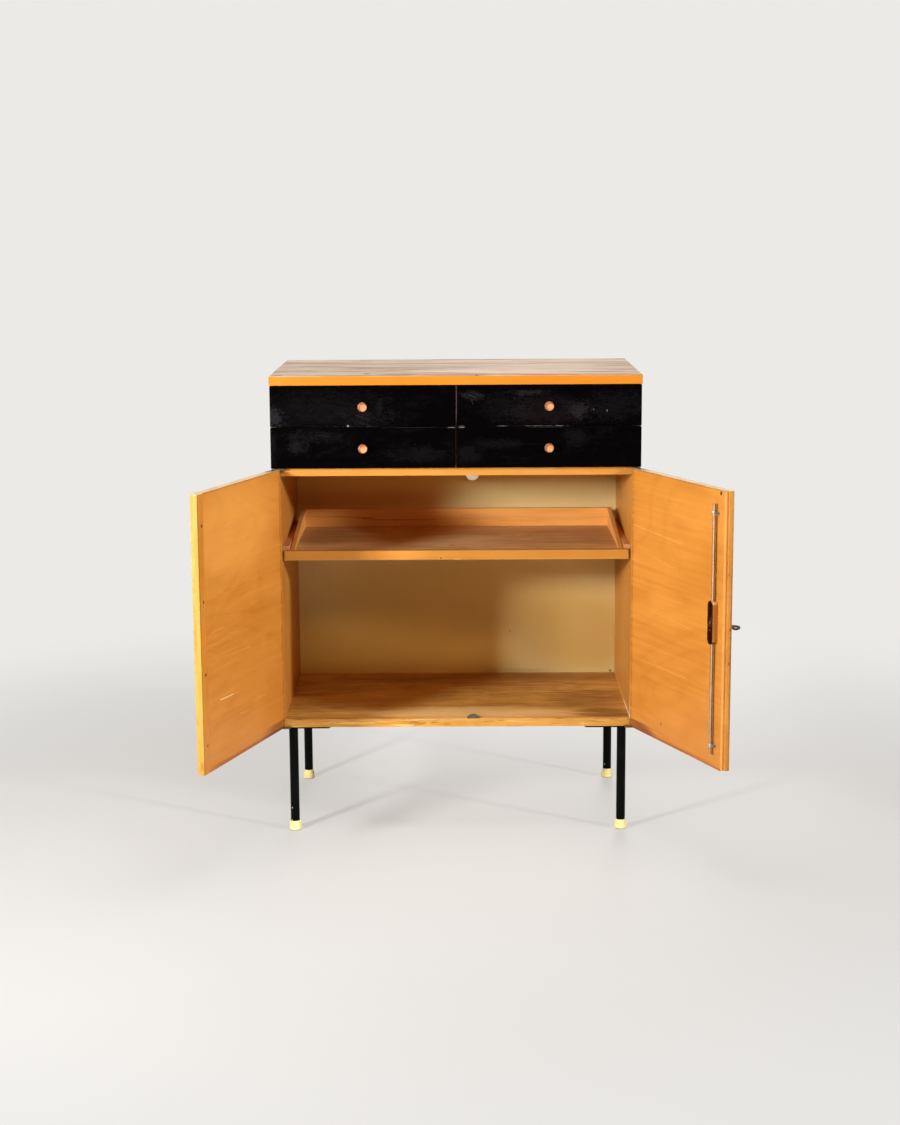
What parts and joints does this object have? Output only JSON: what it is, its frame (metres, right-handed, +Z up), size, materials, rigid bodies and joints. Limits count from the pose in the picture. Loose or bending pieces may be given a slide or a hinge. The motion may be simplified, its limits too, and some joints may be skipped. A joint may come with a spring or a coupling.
{
  "type": "high sideboard",
  "caption": "High sideboard on steel legs with drawers over a two-door cupboard and a pull-out tray.",
  "frame": {"origin": "middle of the case's footprint on the floor", "axes": "+X to the right seen from the front, +Y to the back, +Z up"},
  "size_m": [1.1038, 0.834, 1.02],
  "materials": {
    "orange_birch_edge": "satin",
    "birch_veneer": "satin",
    "worn_top_veneer": "matte",
    "beech": "matte",
    "tray_board_wood": "matte",
    "cream_hardboard": "matte",
    "black_lacquer": "gloss",
    "black_steel": "satin",
    "zinc_steel": "satin",
    "brown_steel": "satin",
    "knob_wood": "satin",
    "ivory_plastic": "satin"
  },
  "bodies": {
    "case": {"top_panel": "worn_top_veneer", "left_side_panel": "birch_veneer", "right_side_panel": "birch_veneer", "bottom_panel": "birch_veneer", "dust_panel": "orange_birch_edge", "back_panel": "cream_hardboard", "centre_divider": "birch_veneer", "drawer_runners": "beech", "tray_runners": "beech", "hinge_arms": "zinc_steel", "door_keepers": "zinc_steel", "corner_plates": "black_steel", "front_left_leg": "black_steel", "front_right_leg": "black_steel", "rear_left_leg": "black_steel", "rear_right_leg": "black_steel", "front_left_ferrule": "ivory_plastic", "front_right_ferrule": "ivory_plastic", "rear_left_ferrule": "ivory_plastic", "rear_right_ferrule": "ivory_plastic", "plate_screws": "zinc_steel"},
    "left_door": {"left_door_panel": "birch_veneer", "left_meeting_strip": "orange_birch_edge", "left_hinge_leaves": "zinc_steel"},
    "right_door": {"right_door_panel": "birch_veneer", "right_hinge_leaves": "zinc_steel", "lock_case": "brown_steel", "rod_guides": "zinc_steel", "guide_screws": "brown_steel", "key_escutcheon": "zinc_steel"},
    "lock_key": {"key": "zinc_steel", "lock_pinion": "zinc_steel"},
    "upper_rod": {"upper_rod": "zinc_steel"},
    "lower_rod": {"lower_rod": "zinc_steel"},
    "tray": {"tray_board": "tray_board_wood", "tray_front_strip": "orange_birch_edge", "tray_back_wall": "birch_veneer", "tray_left_side": "birch_veneer", "tray_right_side": "birch_veneer"},
    "upper_left_drawer": {"upper_left_front": "black_lacquer", "upper_left_sides": "beech", "upper_left_back": "beech", "upper_left_bottom": "tray_board_wood", "upper_left_knob": "knob_wood"},
    "upper_right_drawer": {"upper_right_front": "black_lacquer", "upper_right_sides": "beech", "upper_right_back": "beech", "upper_right_bottom": "tray_board_wood", "upper_right_knob": "knob_wood"},
    "lower_left_drawer": {"lower_left_front": "black_lacquer", "lower_left_sides": "beech", "lower_left_back": "beech", "lower_left_bottom": "tray_board_wood", "lower_left_knob": "knob_wood"},
    "lower_right_drawer": {"lower_right_front": "black_lacquer", "lower_right_sides": "beech", "lower_right_back": "beech", "lower_right_bottom": "tray_board_wood", "lower_right_knob": "knob_wood"}
  },
  "joints": [
    {"name": "left_door_hinge", "type": "hinge", "parent": "case", "child": "left_door", "pos_m": [-0.392, -0.2335, 0.53], "axis": [0, 0, -1], "range_deg": [-109, 5]},
    {"name": "right_door_hinge", "type": "hinge", "parent": "case", "child": "right_door", "pos_m": [0.392, -0.2335, 0.53], "axis": [0, 0, 1], "range_deg": [-113, 2]},
    {"name": "key_turn", "type": "hinge", "parent": "right_door", "child": "lock_key", "pos_m": [0.51611, -0.56811, 0.531], "axis": [0.9205, 0.3907, 0], "range_deg": [-180, 0]},
    {"name": "upper_rod_slide", "type": "slide", "parent": "right_door", "child": "upper_rod", "axis": [0, 0, 1], "range_m": [0, 0.01131]},
    {"name": "lower_rod_slide", "type": "slide", "parent": "right_door", "child": "lower_rod", "axis": [0, 0, -1], "range_m": [0, 0.01131]},
    {"name": "tray_slide", "type": "slide", "parent": "case", "child": "tray", "axis": [0, -1, 0], "range_m": [0, 0.304]},
    {"name": "upper_left_drawer_slide", "type": "slide", "parent": "case", "child": "upper_left_drawer", "axis": [0, -1, 0], "range_m": [0, 0.3]},
    {"name": "upper_right_drawer_slide", "type": "slide", "parent": "case", "child": "upper_right_drawer", "axis": [0, -1, 0], "range_m": [0, 0.3]},
    {"name": "lower_left_drawer_slide", "type": "slide", "parent": "case", "child": "lower_left_drawer", "axis": [0, -1, 0], "range_m": [0, 0.3]},
    {"name": "lower_right_drawer_slide", "type": "slide", "parent": "case", "child": "lower_right_drawer", "axis": [0, -1, 0], "range_m": [0, 0.3]}
  ],
  "couplings": [
    {"joint": "key_turn", "follows": "upper_rod_slide", "rad_per_m": -277.78},
    {"joint": "lower_rod_slide", "follows": "upper_rod_slide", "ratio": 1}
  ]
}
